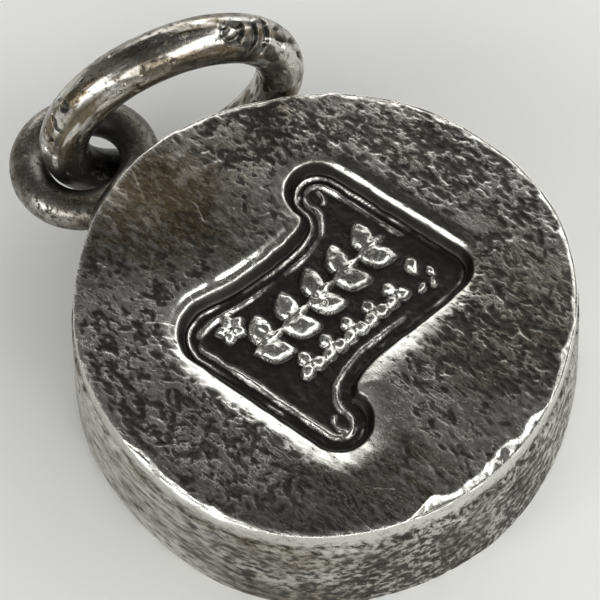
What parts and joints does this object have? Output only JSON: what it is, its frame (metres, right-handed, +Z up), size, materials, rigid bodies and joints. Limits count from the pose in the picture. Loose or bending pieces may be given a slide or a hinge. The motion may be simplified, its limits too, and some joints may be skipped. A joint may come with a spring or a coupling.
{
  "type": "ball marker charm",
  "caption": "Thick cast silver disc with a struck scroll panel on its face, a soldered wire eye on its wall and a heavy closed ring that swings in the eye.",
  "frame": {"origin": "centre of the flat underside, on the surface that the disc rests on", "axes": "+Z up out of the struck face, +Y from the disc's centre to the wire eye, +X along the scroll panel, left to right as the face is read with the eye at the top"},
  "size_m": [0.0262, 0.0331, 0.0146],
  "materials": {
    "disc_silver": "antiqued cast silver, pitted",
    "eye_silver": "antiqued silver wire, worn bright on its ridges",
    "solder_silver": "dull silver solder",
    "ring_silver": "antiqued silver, warm tarnish, worn bright on its ridges"
  },
  "bodies": {
    "marker": {"marker_body": "disc_silver", "bail_eye": "eye_silver", "eye_solder": "solder_silver"},
    "ring": {"carrying_ring": "ring_silver"}
  },
  "joints": [
    {"name": "ring_swing", "type": "hinge", "parent": "marker", "child": "ring", "pos_m": [0, 0.0161, 0.0046], "axis": [0, 0, 1], "range_deg": [0, 230]}
  ]
}
